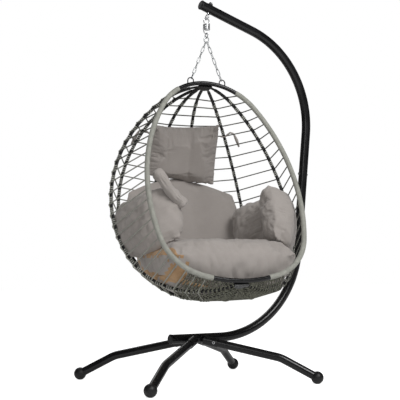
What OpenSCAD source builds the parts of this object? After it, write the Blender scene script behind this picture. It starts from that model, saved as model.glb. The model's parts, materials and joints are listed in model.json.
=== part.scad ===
// Hanging egg chair: bent-tube stand on four ball feet, sprung chain
// bridle, and an open ribbed basket with woven strands and cushions.
// Millimetres, +Z up, +X toward the pole, origin on the floor under the
// middle of the whole chair's box.

/* [Stand] */
// Outer diameter of the pole and base tube
pole_d = 48; // [44:1:52]
// Wall of the pole and base tube
pole_wall = 2; // [1.5:0.5:3]
// Bend radius of both pole bends, on the tube axis
bend_r = 510; // [480:5:540]
// Slope of the arm below level
arm_slope = 17; // [14:1:20]
// Lean of the pole from upright
pole_lean = 5.4; // [4:0.2:7]
// Straight length of the arm
arm_len = 337; // [310:1:370]
// Straight length of the pole between the bends
pole_len = 650; // [600:1:700]
// Straight length of the base tube
base_len = 293; // [270:1:320]
// Height of the base tube's axis
base_h = 221; // [205:1:240]
// Length of the base tube on the far side of the origin
base_back = 150; // [130:1:170]
// Length of the swaged spigot inside the upper pole
spigot_len = 70; // [50:1:90]
// Distance along the pole's straight from its lower bend to the joint
joint_at = 392; // [340:1:440]

/* [Legs] */
// Outer diameter of a leg tube
leg_d = 42; // [38:1:44]
// Wall of a leg tube
leg_wall = 1.5; // [1:0.5:3]
// Wall of the leg sockets
socket_wall = 2.5; // [2:0.5:4]
// Distance from the base centre to a socket's mouth
socket_reach = 112; // [106:1:125]
// Distance from the base centre to a leg's inner end
leg_in = 78; // [76:1:82]
// Angle between a leg and the base tube, seen from above
leg_angle = 39.4; // [34:0.2:46]
// Slope of a leg between its socket and its bend
leg_slope = 12.3; // [8:0.1:15]
// Bend radius of a leg
leg_bend_r = 160; // [120:5:200]
// Distance from the base centre to a leg's bend
leg_bend_at = 432; // [400:1:460]
// Distance from the base centre to a foot's centre
foot_reach = 615; // [590:1:640]
// Diameter of a ball foot
ball_d = 64; // [58:1:70]
// Flat cut under a ball foot
ball_flat = 1; // [0.5:0.5:2]

/* [Hanging hardware] */
// Distance from the base centre to the hanging axis
hang_x = 60; // [50:1:70]
// Wire of the eye bolt's ring
eye_wire = 8; // [7:0.5:9]
// Clear bore of the eye bolt's ring
eye_bore = 22; // [20:0.5:24]
// Visible shank between the arm and the ring
eye_neck = 3; // [2:0.5:8]
// Diameter of the eye bolt's thread
bolt_d = 10; // [8:1:12]
// Wire of the spring
spring_wire = 5.4; // [5:0.1:5.8]
// Outer diameter of the spring
spring_d = 38; // [36:0.5:40]
// Curls in the spring's body
spring_curls = 6; // [5:1:8]
// Height of the loop above the spring's body
loop_up = 32; // [30:0.5:36]
// Depth of the loop below the spring's body
loop_down = 22; // [21:0.5:26]
// Wire of the two connecting rings
ring_wire = 5.5; // [5:0.1:6]
// Outer width of the two connecting rings
ring_w = 31; // [29:0.5:34]
// Outer height of the upper connecting ring
upper_ring_h = 32; // [31:0.5:36]
// Outer height of the lower connecting ring
lower_ring_h = 36; // [34:0.5:42]
// Links in each chain
chain_links = 7; // [5:2:9]
// Wire of a chain link
chain_wire = 4; // [3.5:0.1:4.5]
// Outer width of a chain link
chain_w = 17; // [16:0.5:19]

/* [Basket frame] */
// Height of the rim tube's axis at its top
rim_top = 1552; // [1540:1:1565]
// Turn of the basket about the hanging axis
basket_turn = -8; // [-14:1:0]
// Lean of the rim from upright, its top to the rear
rim_lean = 23; // [20:1:26]
// Outer diameter of the rim tube
rim_d = 22; // [20:1:24]
// Wall of the rim tube
rim_wall = 2; // [1:0.5:2.5]
// Radius of the rim's top arc
rim_top_r = 303; // [290:1:315]
// Radius of the rim's side arcs
rim_side_r = 980; // [950:5:1010]
// Radius of the rim's lower corners
rim_corner_r = 265; // [250:1:280]
// Outer diameter of a rib
rib_d = 12; // [10:1:13]
// Wall of a rib
rib_wall = 1.2; // [1:0.1:2]
// Angles of the ribs from straight back, about the line between the hubs
rib_angles = [9.65, 33.8, 60.5];
// Radius of the two hubs that gather the ribs
hub_r = 38; // [38:0.5:42]
// Height of a hub
hub_h = 28; // [26:1:32]
// Outer diameter of a hanging loop
loop_d = 38; // [36:0.5:42]
// Wire of a hanging loop
loop_wire = 6; // [5:0.5:7]
// Sideways distance from the rim's centre to a hanging loop
loop_x = 90; // [84:1:96]
// Height of a hanging loop's top over the rim's axis
loop_h = 38; // [34:1:42]
// Thickness of the winding on the rim
wrap_t = 2.5; // [2:0.25:3]

/* [Weave] */
// Rows of strands from top to bottom
rows = 25; // [23:1:26]
// Diameter of a strand
strand_d = 4.5; // [4:0.1:5]

/* [Cushions] */
// Full thickness of the head pillow
pillow_t = 92; // [84:1:100]
// Width and depth of the seat cushion
seat_size = [790, 530];
// Crown of the seat cushion over its seam
seat_up = 60; // [54:1:66]
// Depth of the seat cushion's underside below its seam
seat_down = 165; // [156:1:172]
// Full thickness of the side cushions
side_t = 170; // [162:1:176]
// Diameter of the left cushion's rolled flap
flap_d = 56; // [52:1:60]
// Full thickness of the back cushion
back_t = 84; // [76:1:92]
// Thickness of the liner under the seat
liner_t = 12; // [9:1:14]

/* [Hidden] */
$fn = 64;
gap = 0.3;
fit_gap = 0.1;
// The middle of the whole chair's box, from the point where the legs meet
box_middle = [115.5, 19.3, 0];
black = [0.06, 0.06, 0.06];
steel = [0.75, 0.76, 0.78];
wicker = [0.66, 0.67, 0.62];
cloth = [0.58, 0.54, 0.51];
tan_cloth = [0.70, 0.55, 0.40];

// ---- Planar routes: a step [0, length] is straight, [radius, turn] an arc ----
function wrap_angle(a) = (a % 360 + 540) % 360 - 180;
function step_len(s) = s[0] == 0 ? s[1] : s[0] * abs(s[1]) * PI / 180;
function arc_centre(pose, s) =
  pose[0] + s[0] * sign(s[1]) * [-sin(pose[1]), cos(pose[1])];
function step_part(s, len) =
  s[0] == 0 ? [0, len] : [s[0], s[1] * len / step_len(s)];
function step_end(pose, s) =
  s[0] == 0
    ? [pose[0] + s[1] * [cos(pose[1]), sin(pose[1])], pose[1]]
    : [arc_centre(pose, s) + s[0] * sign(s[1])
         * [sin(pose[1] + s[1]), -cos(pose[1] + s[1])], pose[1] + s[1]];
function route_len(steps, i = 0) =
  i == len(steps) ? 0 : step_len(steps[i]) + route_len(steps, i + 1);
function route_pose(pose, steps, at, i = 0) =
  i == len(steps) ? pose
  : at <= step_len(steps[i]) || i == len(steps) - 1
    ? step_end(pose, step_part(steps[i], at))
    : route_pose(step_end(pose, steps[i]), steps, at - step_len(steps[i]), i + 1);
// The arc that leaves a pose along its heading and ends at point q
function arc_to(pose, q) =
  let (c = q - pose[0], off = wrap_angle(atan2(c[1], c[0]) - pose[1]))
  [norm(c) / (2 * sin(abs(off))), 2 * off];

// One step of a round tube or rod; wall 0 makes it solid
module step_tube(pose, s, r, wall = 0) {
  if (s[0] == 0)
    translate(pose[0]) rotate([0, 0, pose[1]]) rotate([0, 90, 0])
      difference() {
        cylinder(r = r, h = s[1]);
        if (wall > 0) translate([0, 0, -1]) cylinder(r = r - wall, h = s[1] + 2);
      }
  else
    translate(arc_centre(pose, s))
      rotate([0, 0, min(pose[1], pose[1] + s[1]) - 90 * sign(s[1])])
        rotate_extrude(angle = abs(s[1]), $fn = 160)
          translate([s[0], 0]) difference() {
            circle(r = r, $fn = 48);
            if (wall > 0) circle(r = r - wall, $fn = 48);
          }
}
// The part of a route between two lengths, drawn in the local XY plane. A
// hairline bead joins each pair of steps into one piece.
bead = 0.1;
bead_len = 3;
module route_bead(pose, r, wall) {
  translate(pose[0]) rotate([0, 0, pose[1]]) rotate([0, 90, 0]) difference() {
    cylinder(r = r + bead, h = bead_len, center = true);
    if (wall > 0) cylinder(r = r - wall - bead, h = bead_len + 1, center = true);
  }
}
module route_tube(pose, steps, r, wall = 0, from = 0, to = 1e6, i = 0) {
  if (i < len(steps)) {
    l = step_len(steps[i]);
    a = max(0, from);
    b = min(l, to);
    if (b > a + 0.01)
      step_tube(step_end(pose, step_part(steps[i], a)),
                step_part(steps[i], b - a), r, wall);
    if (i < len(steps) - 1 && from < l - bead_len && to > l + bead_len)
      route_bead(step_end(pose, steps[i]), r, wall);
    route_tube(step_end(pose, steps[i]), steps, r, wall, from - l, to - l, i + 1);
  }
}
module upright() { rotate([90, 0, 0]) children(); }
// A straight rod from a to b
module rod(a, b, r) {
  d = b - a;
  translate(a) rotate([0, acos(d[2] / norm(d)), atan2(d[1], d[0])])
    cylinder(r = r, h = norm(d));
}
// An oval ring in the XZ plane: outer width w, outer height h
module oval(w, h, wire) {
  r = (w - wire) / 2;
  side = h - w;
  for (s = [-1, 1]) {
    translate([0, 0, s * side / 2]) rotate([90, s > 0 ? 0 : 180, 0])
      rotate_extrude(angle = 180) translate([r, 0]) circle(d = wire);
    translate([s * r, 0, -side / 2]) cylinder(d = wire, h = side);
  }
}

// ---- Stand: routes and seats ----
pole_start = [[-base_back, base_h], 0];
pole_steps = [
  [0, base_len], [bend_r, 90 - pole_lean], [0, pole_len],
  [bend_r, 90 + pole_lean - arm_slope], [0, arm_len]
];
pole_r = pole_d / 2;
pole_bore = pole_r - pole_wall;
joint_s = base_len + step_len(pole_steps[1]) + joint_at;
pole_end_s = route_len(pole_steps);
bolt_back = 27;
bolt_pose = route_pose(pole_start, pole_steps, joint_s + bolt_back);
bolt_r = 4;
head_r = 7;
head_h = 4;
spigot_r = pole_bore - fit_gap;
leg_r = leg_d / 2;
ball_r = ball_d / 2;
ball_z = ball_r - ball_flat;
bend_z = base_h - leg_bend_at * tan(leg_slope);
foot_slope = atan((bend_z - ball_z) / (foot_reach - leg_bend_at));
leg_tangent = leg_bend_r * tan((foot_slope - leg_slope) / 2);
ball_seat = ball_r * 0.7;
leg_start = [[leg_in, base_h - leg_in * tan(leg_slope)], -leg_slope];
leg_steps = [
  [0, (leg_bend_at - leg_in) / cos(leg_slope) - leg_tangent],
  [leg_bend_r, leg_slope - foot_slope],
  [0, (foot_reach - leg_bend_at) / cos(foot_slope) - leg_tangent - ball_seat - gap]
];
leg_turns = [180 + leg_angle, -leg_angle, 180 - leg_angle, leg_angle];
leg_bolt_at = leg_in + 14;
socket_from = 36;
module at_legs() { for (a = leg_turns) rotate([0, 0, a]) children(); }
// Places children at a pose of the stand's plane, their Z across the route
module across(pose) {
  upright() translate(pose[0]) rotate([0, 0, pose[1]]) rotate([-90, 0, 0]) children();
}
module leg_bolt_line() {
  s = (leg_bolt_at - leg_in) / cos(leg_slope);
  at_legs() upright() translate(route_pose(leg_start, leg_steps, s)[0]) children();
}
module socket_part(from, to, r) {
  upright() step_tube(step_end([[0, base_h], -leg_slope], [0, from / cos(leg_slope)]),
                      [0, (to - from) / cos(leg_slope)], r);
}

module lower_pole() {
  color(black) difference() {
    union() {
      upright() route_tube(pole_start, pole_steps, pole_r, pole_wall, 0, joint_s);
      joint_frame() spigot();
    }
    across(bolt_pose) cylinder(r = bolt_r + fit_gap, h = 2 * pole_d, center = true);
  }
}
// The sockets' tubes, welded to the base tube on both sides
module leg_sockets() {
  color(black) difference() {
    at_legs() socket_part(socket_from, socket_reach, leg_r + fit_gap + socket_wall);
    translate([0, 0, base_h]) rotate([0, 90, 0])
      cylinder(r = pole_r + fit_gap / 2, h = 3 * base_back, center = true);
    at_legs() socket_part(leg_in - gap, socket_reach + 1, leg_r + fit_gap);
    leg_bolt_line() cylinder(r = bolt_r + fit_gap, h = 2 * leg_d, center = true);
  }
}
// The pole's joint: Z runs on along the pole
module joint_frame() {
  across(route_pose(pole_start, pole_steps, joint_s)) rotate([90, 0, 90]) children();
}
// The lower pole's reduced end, stepped down inside the upper pole
module spigot() {
  difference() {
    translate([0, 0, -12]) cylinder(r = spigot_r, h = spigot_len + 12);
    translate([0, 0, -13]) cylinder(r = spigot_r - pole_wall, h = spigot_len + 14);
  }
  difference() {
    translate([0, 0, -2]) cylinder(r = pole_bore + 1, h = 2 - bead);
    translate([0, 0, -3]) cylinder(r = spigot_r - 1, h = 4);
  }
}
module upper_pole() {
  color(black) difference() {
    upright() route_tube(pole_start, pole_steps, pole_r, pole_wall, joint_s + gap, pole_end_s);
    across(bolt_pose) cylinder(r = bolt_r + fit_gap, h = 2 * pole_d, center = true);
    eye_frame() cylinder(r = bolt_d / 2 + fit_gap, h = 2 * pole_d, center = true);
  }
}
// A bolt along Z with a domed head at its lower end, its grip centred
module bolt(grip) {
  cylinder(r = bolt_r, h = grip + 2 * nut_h + 3, center = true);
  translate([0, 0, -grip / 2 - head_h]) cylinder(r1 = head_r - 2, r2 = head_r, h = head_h);
}
nut_h = 6;
module nut(grip) {
  translate([0, 0, grip / 2]) difference() {
    cylinder(r = head_r + 0.5, h = nut_h, $fn = 6);
    translate([0, 0, -1]) cylinder(r = bolt_r + 0.05, h = nut_h + 2);
  }
}
pole_grip = pole_d + gap;
socket_grip = leg_d + 2 * (fit_gap + socket_wall) + gap;
module pole_bolt() { color(steel) across(bolt_pose) bolt(pole_grip); }
module pole_nut() { color(steel) across(bolt_pose) nut(pole_grip); }
module leg_bolts() { color(black) leg_bolt_line() bolt(socket_grip); }
module leg_nuts() { color(steel) leg_bolt_line() nut(socket_grip); }
module tube_cap(pose, turn) {
  upright() translate(pose[0]) rotate([0, 0, pose[1] + turn]) rotate([0, 90, 0]) {
    translate([0, 0, gap]) cylinder(r = pole_r + 1.5, h = 5);
    translate([0, 0, gap + 5]) cylinder(r1 = pole_r + 1.5, r2 = pole_r - 3, h = 4);
    translate([0, 0, -22]) cylinder(r = pole_bore - fit_gap, h = 23);
  }
}
module base_end_cap() { color(black) tube_cap(pole_start, 180); }
module arm_end_cap() {
  color(black) tube_cap(route_pose(pole_start, pole_steps, pole_end_s), 0);
}
module leg(i) {
  color(black) difference() {
    rotate([0, 0, leg_turns[i]]) upright() route_tube(leg_start, leg_steps, leg_r, leg_wall);
    leg_bolt_line() cylinder(r = bolt_r + fit_gap, h = 2 * leg_d, center = true);
  }
}
module leg_front_left() { leg(0); }
module leg_front_right() { leg(1); }
module leg_rear_left() { leg(2); }
module leg_rear_right() { leg(3); }
module ball_feet() {
  color(black) at_legs() difference() {
    union() {
      difference() {
        translate([foot_reach, 0, ball_z]) sphere(r = ball_r);
        ball_line(ball_seat, ball_r + 5, leg_r + fit_gap);
      }
      ball_line(0, ball_seat + 20, leg_r - leg_wall - fit_gap);
    }
    translate([foot_reach, 0, -ball_d]) cylinder(r = ball_d, h = ball_d);
  }
}
// A cylinder on a leg's lower line, between two distances from the ball's centre
module ball_line(from, to, r) {
  translate([foot_reach, 0, ball_z]) rotate([0, foot_slope - 90, 0])
    translate([0, 0, from]) cylinder(r = r, h = to - from);
}

// ---- Hanging hardware ----
eye_drop = pole_r + eye_neck + eye_wire + eye_bore / 2;
eye_r = (eye_bore + eye_wire) / 2;
arm_tip = route_pose(pole_start, pole_steps, pole_end_s)[0];
eye_s = pole_end_s - (hang_x - arm_tip[0] + (eye_drop + eye_r) * sin(arm_slope))
  / cos(arm_slope);
eye_point = route_pose(pole_start, pole_steps, eye_s)[0];
// The eye bolt's frame: Z points up out of the arm, X along the arm
module eye_frame() {
  translate([eye_point[0], 0, eye_point[1]]) rotate([0, arm_slope, 0]) children();
}
washer_h = 4;
washer_r = 13;
eye_nut_h = 8;
module eye_bolt() {
  color(steel) eye_frame() {
    translate([0, 0, -eye_drop]) rotate([0, 90, 0])
      rotate_extrude() translate([eye_r, 0]) circle(d = eye_wire);
    translate([0, 0, -eye_drop + eye_r]) cylinder(
      d = bolt_d, h = eye_drop - eye_r + pole_r + washer_h + eye_nut_h + 3);
  }
}
module eye_washer() {
  color(black) difference() {
    eye_frame() cylinder(r = washer_r, h = pole_r + washer_h);
    eye_frame() rotate([0, 90, 0]) cylinder(r = pole_r + gap, h = 4 * washer_r, center = true);
    eye_frame() cylinder(d = bolt_d + 2 * fit_gap, h = 2 * pole_d);
  }
}
module eye_nut() {
  color(steel) eye_frame() translate([0, 0, pole_r + washer_h]) difference() {
    cylinder(r = bolt_d * 0.95, h = eye_nut_h, $fn = 6);
    translate([0, 0, -1]) cylinder(d = bolt_d + fit_gap, h = eye_nut_h + 2);
  }
}
// Heights on the hanging axis, from the eye's wire down
eye_z = eye_point[1] - (eye_drop + eye_r) * cos(arm_slope);
hook_z = eye_z + eye_wire / 2 + gap + spring_wire / 2;
coil_r = (spring_d - spring_wire) / 2;
coil_pitch = spring_wire + 0.45;
hook_rise = loop_up + spring_wire / 2 - spring_d / 2;
coil_top = hook_z - coil_r - hook_rise;
coil_low = coil_top - (spring_curls - 0.5) * coil_pitch;
hook_drop = loop_down + spring_wire / 2 - spring_d / 2;
low_hook_z = coil_low - hook_drop - coil_r;
upper_ring_top = low_hook_z + spring_wire / 2 + gap + ring_wire / 2;
upper_ring_low = upper_ring_top - (upper_ring_h - ring_wire);
lower_ring_top = upper_ring_low + ring_wire + gap;
lower_ring_low = lower_ring_top - (lower_ring_h - ring_wire);
ring_r = (ring_w - ring_wire) / 2;
bridle_z = lower_ring_low + ring_r;

// The spring's wire: a hook, the curls and a hook, as points around its axis
bend_in = 18;
function coil_pt(a) = [
  coil_r * cos(a), coil_r * sin(a),
  coil_low + (a - 180) / 360 * coil_pitch
];
function bezier(a, b, c, d, t) =
  a * pow(1 - t, 3) + 3 * b * t * pow(1 - t, 2) + 3 * c * t * t * (1 - t) + d * pow(t, 3);
coil_end = spring_curls * 360;
spring_pts = concat(
  [for (a = [350:-17:197]) [coil_r * cos(a), 0, coil_low - hook_drop + coil_r * sin(a)]],
  [for (t = [0:0.25:0.75]) bezier(
    [-coil_r, 0, coil_low - hook_drop], [-coil_r, 0, coil_low - 1.5],
    coil_pt(180 + bend_in) + [-1.2, 3.6, 0], coil_pt(180 + bend_in), t)],
  [for (i = [0:8 * (spring_curls - 0.5) - 1])
    coil_pt(180 + bend_in + i * (coil_end - 180 - 2 * bend_in)
      / (8 * (spring_curls - 0.5) - 1))],
  [for (t = [0.25:0.25:1]) bezier(
    coil_pt(coil_end - bend_in), coil_pt(coil_end - bend_in) + [1.2, 3.6, 0],
    [coil_r, 0, coil_top + 1.5], [coil_r, 0, coil_top + 7], t)],
  [for (a = [0:17:221]) [coil_r * cos(a), 0, coil_top + hook_rise + coil_r * sin(a)]]
);
function unit(v) = v / norm(v);
function way(p, i) = unit(p[min(i + 1, len(p) - 1)] - p[max(i - 1, 0)]);
// A side direction at each point, carried along the wire without twist
function sides(p) = [
  for (i = 0, s = unit(cross(way(p, 0), [0, 1, 0])); i < len(p);
       i = i + 1, s = i < len(p) ? unit(s - way(p, i) * (s * way(p, i))) : s) s
];
// A round wire along points, closed at both ends
module wire_tube(p, r, n) {
  s = sides(p);
  ring_pts = [for (i = [0:len(p) - 1], k = [0:n - 1])
    p[i] + r * (cos(k * 360 / n) * s[i] + sin(k * 360 / n) * cross(way(p, i), s[i]))];
  skin = [for (i = [0:len(p) - 2], k = [0:n - 1]) each [
    [i * n + k, (i + 1) * n + k, i * n + (k + 1) % n],
    [i * n + (k + 1) % n, (i + 1) * n + k, (i + 1) * n + (k + 1) % n]
  ]];
  last = (len(p) - 1) * n;
  ends = [for (k = [1:n - 2]) each [[0, k, k + 1], [last, last + k + 1, last + k]]];
  polyhedron(ring_pts, concat(skin, ends));
}
spring_gap = min([for (i = [0:len(spring_pts) - 6], j = [i + 5:len(spring_pts) - 1])
  norm(spring_pts[i] - spring_pts[j])]) - spring_wire;
echo(spring_least_gap = spring_gap);
module spring() {
  color(steel) translate([hang_x, 0, 0]) wire_tube(spring_pts, spring_wire / 2, 6);
}
module upper_ring() {
  color(steel) translate([hang_x, 0, (upper_ring_top + upper_ring_low) / 2])
    rotate([0, 0, 90]) oval(ring_w, upper_ring_h, ring_wire);
}
module lower_ring() {
  color(steel) hang_frame() translate([0, 0, (lower_ring_top + lower_ring_low) / 2])
    oval(ring_w, lower_ring_h, ring_wire);
}

// ---- Basket placement ----
// The hanging axis's frame, turned with the basket: X to its side, Y to its rear
module hang_frame() { translate([hang_x, 0, 0]) rotate([0, 0, basket_turn]) children(); }
// How far the rim has dropped at the hanging loops, along its plane
loop_fall = rim_top_r - sqrt(rim_top_r * rim_top_r - loop_x * loop_x);
// The rim's frame: X to its side, Y up its plane from the top, Z to the front
module rim_frame() {
  hang_frame() translate([0, loop_fall * sin(rim_lean), rim_top])
    rotate([90 - rim_lean, 0, 0]) children();
}
loop_r = (loop_d - loop_wire) / 2;
loop_z = rim_top - loop_fall * cos(rim_lean) + loop_h - loop_d / 2;

// ---- Chains ----
chain_lean = atan(loop_x / (bridle_z - loop_z));
hitch = (ring_wire + chain_wire) / 2 + gap;
unhitch = (loop_wire + chain_wire) / 2 + gap;
chain_span = norm([loop_x, bridle_z - loop_z]) - ring_r - loop_r;
// Centre-to-centre length of a link's two end wires, so that the chain fits
link_len = (chain_span + hitch + unhitch + (chain_links - 1) * (chain_wire + gap))
  / chain_links;
module chain(side) {
  color(steel) hang_frame() translate([0, 0, bridle_z])
    rotate([0, side * -chain_lean, 0])
      for (i = [0:chain_links - 1])
        translate([0, 0, hitch - ring_r - link_len / 2 - i * (link_len - chain_wire - gap)])
          rotate([0, 0, i % 2 == 0 ? 90 : 0])
            oval(chain_w, link_len + chain_wire, chain_wire);
}
module chain_left() { chain(-1); }
module chain_right() { chain(1); }

// ---- Rim and ribs ----
rim_r = rim_d / 2;
rib_r = rib_d / 2;
rim_start = [[0, 0], 0];
rim_arcs = [[rim_top_r, -57], [rim_side_r, -46.1], [rim_corner_r, -59.6]];
rim_one = step_end(rim_start, rim_arcs[0]);
rim_three = route_pose(rim_start, rim_arcs, route_len(rim_arcs));
rim_steps = concat(rim_arcs,
  [[rim_three[0][0] / sin(-rim_three[1]), -180 - rim_three[1]]]);
rim_len = route_len(rim_steps);
rim_end = route_pose(rim_start, rim_steps, rim_len);
rim_low = rim_end[0][1];
bare_top = 172;
bare_low = 150;
// Start heading and arcs of the ribs, from the middle pair outward
rib_heads = [24, 14, 13];
rib_arcs = [
  [[450, -61], [600, -84], [540, -39]],
  [[540, -65], [530, -50], [690, -37]],
  [[330, -40], [650, -88], [410, -54]]
];
hub_n = rim_r;
hub_top_b = -3;
hub_low_b = rim_low - 8;
rib_top_b = hub_top_b - 10;
rib_low_b = hub_low_b + 5;
function rib_start(i) = [[0, rib_top_b], rib_heads[i]];
function rib_steps(i) = concat(rib_arcs[i],
  [arc_to(route_pose(rib_start(i), rib_arcs[i], route_len(rib_arcs[i])), [0, rib_low_b])]);
rib_routes = [for (i = [0:2]) rib_steps(i)];
rib_lens = [for (r = rib_routes) route_len(r)];
// The eight members from the rim's left side to its right; 1 to 6 are the ribs
function member_side(k) = k < 3.5 ? -1 : 1;
function member_rib(k) = k < 3.5 ? 3 - k : k - 4;
function member(k, f) =
  k == 0 || k == 7
    ? let (q = route_pose(rim_start, rim_steps, f * rim_len)[0])
      [member_side(k) * q[0], q[1], 0]
    : let (i = member_rib(k), a = member_side(k) * rib_angles[i],
           q = route_pose(rib_start(i), rib_routes[i], f * rib_lens[i])[0])
      [q[0] * sin(a), q[1], -hub_n - q[0] * cos(a)];
// A point of the basket's wall: f runs down the members, j counts them
function wall_pt(f, j) =
  let (k = min(6, floor(j)), t = j - k)
  member(k, f) * (1 - t) + member(k + 1, f) * t;
core = [0, -600, -300];
side_core = [0, -560, -80];
function lifted(f, j, lift, c = core) =
  let (w = wall_pt(f, j)) w + lift * unit(c - w);
module rib_plane(a) {
  translate([0, 0, -hub_n]) rotate([0, 90 - a, 0]) children();
}
module hub_round(b, r) {
  translate([0, b - hub_h / 2, -hub_n]) rotate([-90, 0, 0]) cylinder(r = r, h = hub_h);
}
module hub(b) {
  color(black) rim_frame() difference() {
    hub_round(b, hub_r);
    translate([-hub_r - 1, b - hub_h, -hub_n]) cube([2 * hub_r + 2, 2 * hub_h, hub_r + 1]);
  }
}
module rib_hub_top() { hub(hub_top_b); }
module rib_hub_bottom() { hub(hub_low_b); }
module rib(k) {
  color(black) rim_frame() difference() {
    rib_plane(member_side(k) * rib_angles[member_rib(k)])
      route_tube(rib_start(member_rib(k)), rib_routes[member_rib(k)], rib_r, rib_wall);
    translate([0, 10, 0]) hub_round(hub_top_b, hub_r + gap);
    translate([0, -10, 0]) hub_round(hub_top_b, hub_r + gap);
    translate([0, 10, 0]) hub_round(hub_low_b, hub_r + gap);
    translate([0, -10, 0]) hub_round(hub_low_b, hub_r + gap);
  }
}
module rib_1() { rib(1); }
module rib_2() { rib(2); }
module rib_3() { rib(3); }
module rib_4() { rib(4); }
module rib_5() { rib(5); }
module rib_6() { rib(6); }
module both_sides() {
  children();
  mirror([1, 0, 0]) children();
}
loop_slope = asin(loop_x / rim_top_r);
module hanging_loop() {
  translate([loop_x, 0, loop_z]) {
    rotate([90, 0, 0]) rotate_extrude(angle = 180) translate([loop_r, 0]) circle(d = loop_wire);
    for (s = [-1, 1]) {
      leg = loop_h - loop_d / 2 + s * loop_r * tan(loop_slope) * cos(rim_lean);
      translate([s * loop_r, 0, -leg]) cylinder(d = loop_wire, h = leg);
    }
  }
}
// The whole rim as one route that starts where the left side meets the top arc
rim_loop_start = [[-rim_one[0][0], rim_one[0][1]], -rim_one[1]];
rim_loop = [
  [rim_top_r, 2 * rim_arcs[0][1]], rim_arcs[1], rim_arcs[2],
  [rim_steps[3][0], 2 * rim_steps[3][1]], rim_arcs[2], rim_arcs[1]
];
module rim() {
  color(black) rim_frame() {
    route_tube(rim_loop_start, rim_loop, rim_r, rim_wall);
    route_bead(rim_loop_start, rim_r, rim_wall);
  }
}
module hanging_loops() {
  color(black) difference() {
    hang_frame() both_sides() hanging_loop();
    rim_frame() both_sides() step_tube(rim_start, rim_steps[0], rim_r + fit_gap / 2);
  }
}
module rim_winding_left() { color(wicker) rim_frame() mirror([1, 0, 0]) winding_half(); }
module rim_winding_right() { color(wicker) rim_frame() winding_half(); }
module winding_half() {
  route_tube(rim_start, rim_steps, rim_r + wrap_t, wrap_t - 3 * fit_gap,
             bare_top, rim_len - bare_low);
}

// ---- Weave ----
strand_r = strand_d / 2;
first_row = 0.10;
last_row = 0.885;
row_step = (last_row - first_row) / (rows - 1);
function member_r(k) = k == 0 || k == 7 ? rim_r + wrap_t : rib_r;
function member_way(k, f) = unit(member(k, f + 0.002) - member(k, f - 0.002));
// Distance from a member's axis at which a strand along d clears its surface
function strand_clear(k, f, d) =
  let (c = abs(member_way(k, f) * d))
  (member_r(k) + gap + strand_r * c) / sqrt(1 - c * c);
module strands(k) {
  color(wicker) rim_frame() for (n = [0:rows - 1]) {
    f = first_row + n * row_step;
    a = member(k, f);
    b = member(k + 1, f);
    d = unit(b - a);
    rod(a + d * strand_clear(k, f, d), b - d * strand_clear(k + 1, f, d), strand_r);
  }
}
module strands_1() { strands(0); }
module strands_2() { strands(1); }
module strands_3() { strands(2); }
module strands_4() { strands(3); }
module strands_5() { strands(4); }
module strands_6() { strands(5); }
module strands_7() { strands(6); }

// ---- Soft parts ----
// A cushion is a front and a back sheet over an n by n grid that meet in a seam
function seam_shape(u, v) = sqrt(max(0, (1 - pow(abs(u), 4)) * (1 - pow(abs(v), 4))));
function bowed(u, v, bow) = u * sqrt(1 - bow * v * v);
function on_seam(i, j, n) = i == 0 || j == 0 || i == n || j == n;
function back_index(i, j, n) =
  on_seam(i, j, n) ? i * (n + 1) + j : (n + 1) * (n + 1) + (i - 1) * (n - 1) + j - 1;
function front_index(i, j, n) = i * (n + 1) + j;
// Cells are cut along the diagonal that leaves the nearest corner
function cell(a, b, c, d, fall) = fall ? [[a, b, c], [a, c, d]] : [[a, b, d], [b, c, d]];
function flip(tris) = [for (t = tris) [t[0], t[2], t[1]]];
module pillow_skin(front, back, n) {
  cells = [for (i = [0:n - 1], j = [0:n - 1]) [i, j, (i < n / 2) == (j < n / 2)]];
  polyhedron(
    concat([for (i = [0:n], j = [0:n]) front[i][j]],
           [for (i = [1:n - 1], j = [1:n - 1]) back[i][j]]),
    concat(
      [for (c = cells) each cell(
        front_index(c[0], c[1], n), front_index(c[0] + 1, c[1], n),
        front_index(c[0] + 1, c[1] + 1, n), front_index(c[0], c[1] + 1, n), c[2])],
      [for (c = cells) each flip(cell(
        back_index(c[0], c[1], n), back_index(c[0] + 1, c[1], n),
        back_index(c[0] + 1, c[1] + 1, n), back_index(c[0], c[1] + 1, n), c[2]))]));
}
// A cushion that lines the wall: its edges run from member j[0] to j[1], at
// rows top[0] to top[1] above and low[0] to low[1] below. The top edge drops by
// dome at its ends; flare makes the top wider than the foot.
function pad_j(j, u, v, bow, flare) =
  (j[0] + j[1]) / 2 + (j[1] - j[0]) / 2 * bowed(u, v, bow) * (1 - flare * v);
function pad_f(top, low, u, v, bow, dome) =
  let (s = (u + 1) / 2, w = (bowed(v, u, bow) + 1) / 2)
  (top[0] + (top[1] - top[0]) * s + dome * u * u) * (1 - w) + (low[0] + (low[1] - low[0]) * s) * w;
module wall_cushion(j, top, low, lift, t, n, seam, bow = 0.22, dome = 0, flare = 0,
                    c = core) {
  grid = [for (i = [0:n]) [for (k = [0:n])
    let (u = 2 * i / n - 1, v = 2 * k / n - 1)
    [pad_j(j, u, v, bow, flare), pad_f(top, low, u, v, bow, dome), seam_shape(u, v)]]];
  pillow_skin(
    [for (row = grid) [for (g = row)
      lifted(g[1], g[0], lift + t * (seam + (1 - seam) * g[2]), c)]],
    [for (row = grid) [for (g = row)
      lifted(g[1], g[0], lift + t * seam * (1 - g[2]), c)]], n);
}
// Where a wall cushion's seam lies in its thickness, from its back
seam_at = 0.3;
side_seam = 0.65;
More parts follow.
